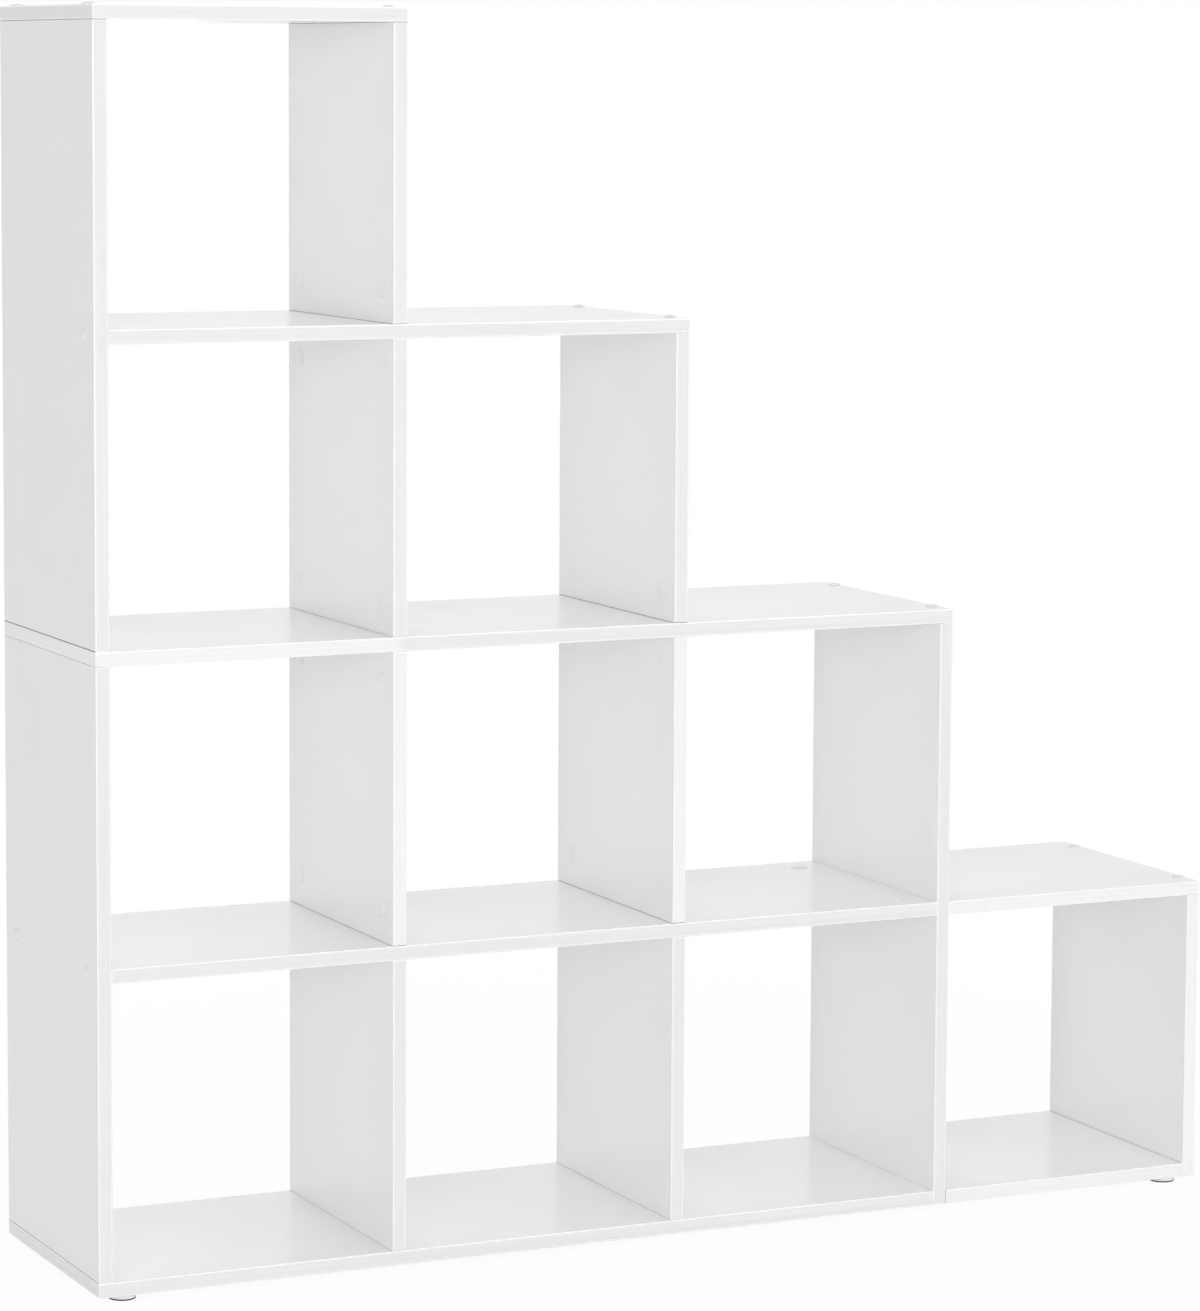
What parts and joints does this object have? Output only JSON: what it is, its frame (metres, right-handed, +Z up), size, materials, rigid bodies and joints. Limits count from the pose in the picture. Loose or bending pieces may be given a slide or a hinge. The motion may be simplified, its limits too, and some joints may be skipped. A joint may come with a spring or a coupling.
{
  "type": "cube bookcase",
  "caption": "Open stair-step bookcase: columns of square cubes that step down to the right, in white boards with screw caps, cam-lock covers and low round glides.",
  "frame": {"origin": "bottom centre of the case, on the floor under the pads", "axes": "+X to the right, down the steps; +Y to the back; +Z up"},
  "size_m": [1.2954, 0.29, 1.2992],
  "materials": {
    "melamine_board": "white melamine-faced particle board, satin, finely pebbled",
    "edging": "white plastic edging, satin, faintly drawn lengthways",
    "cap_plastic": "white moulded plastic, satin",
    "screw_steel": "bright zinc-plated steel",
    "lock_zinc": "grey die-cast zinc",
    "dowel_wood": "bare beech",
    "foot_plastic": "white moulded plastic, satin",
    "pad": "dark rubbery felt, matt"
  },
  "bodies": {
    "root": {"top_board": "melamine_board", "top_board_edging": "edging", "upper_shelf": "melamine_board", "upper_shelf_edging": "edging", "middle_shelf": "melamine_board", "middle_shelf_edging": "edging", "lower_shelf": "melamine_board", "lower_shelf_edging": "edging", "low_cube_top": "melamine_board", "low_cube_top_edging": "edging", "bottom_board": "melamine_board", "bottom_board_edging": "edging", "low_cube_bottom": "melamine_board", "low_cube_bottom_edging": "edging", "left_side_upper": "melamine_board", "left_side_upper_edging": "edging", "left_side_lower": "melamine_board", "left_side_lower_edging": "edging", "tall_side": "melamine_board", "tall_side_edging": "edging", "low_cube_side": "melamine_board", "low_cube_side_edging": "edging", "divider_1_row_1": "melamine_board", "divider_1_row_1_edging": "edging", "divider_1_row_2": "melamine_board", "divider_1_row_2_edging": "edging", "divider_1_row_3": "melamine_board", "divider_1_row_3_edging": "edging", "divider_1_row_4": "melamine_board", "divider_1_row_4_edging": "edging", "divider_2_row_1": "melamine_board", "divider_2_row_1_edging": "edging", "divider_2_row_2": "melamine_board", "divider_2_row_2_edging": "edging", "divider_2_row_3": "melamine_board", "divider_2_row_3_edging": "edging", "foot_front_left": "foot_plastic", "foot_pad_front_left": "pad", "foot_front_right": "foot_plastic", "foot_pad_front_right": "pad", "foot_rear_left": "foot_plastic", "foot_pad_rear_left": "pad", "foot_rear_right": "foot_plastic", "foot_pad_rear_right": "pad", "confirmat_screws": "screw_steel", "screw_caps": "cap_plastic", "cam_locks": "lock_zinc", "cam_lock_caps": "cap_plastic", "cam_bolts": "screw_steel", "double_cam_bolts": "screw_steel", "wooden_dowels": "dowel_wood", "foot_screws": "screw_steel"}
  },
  "joints": []
}
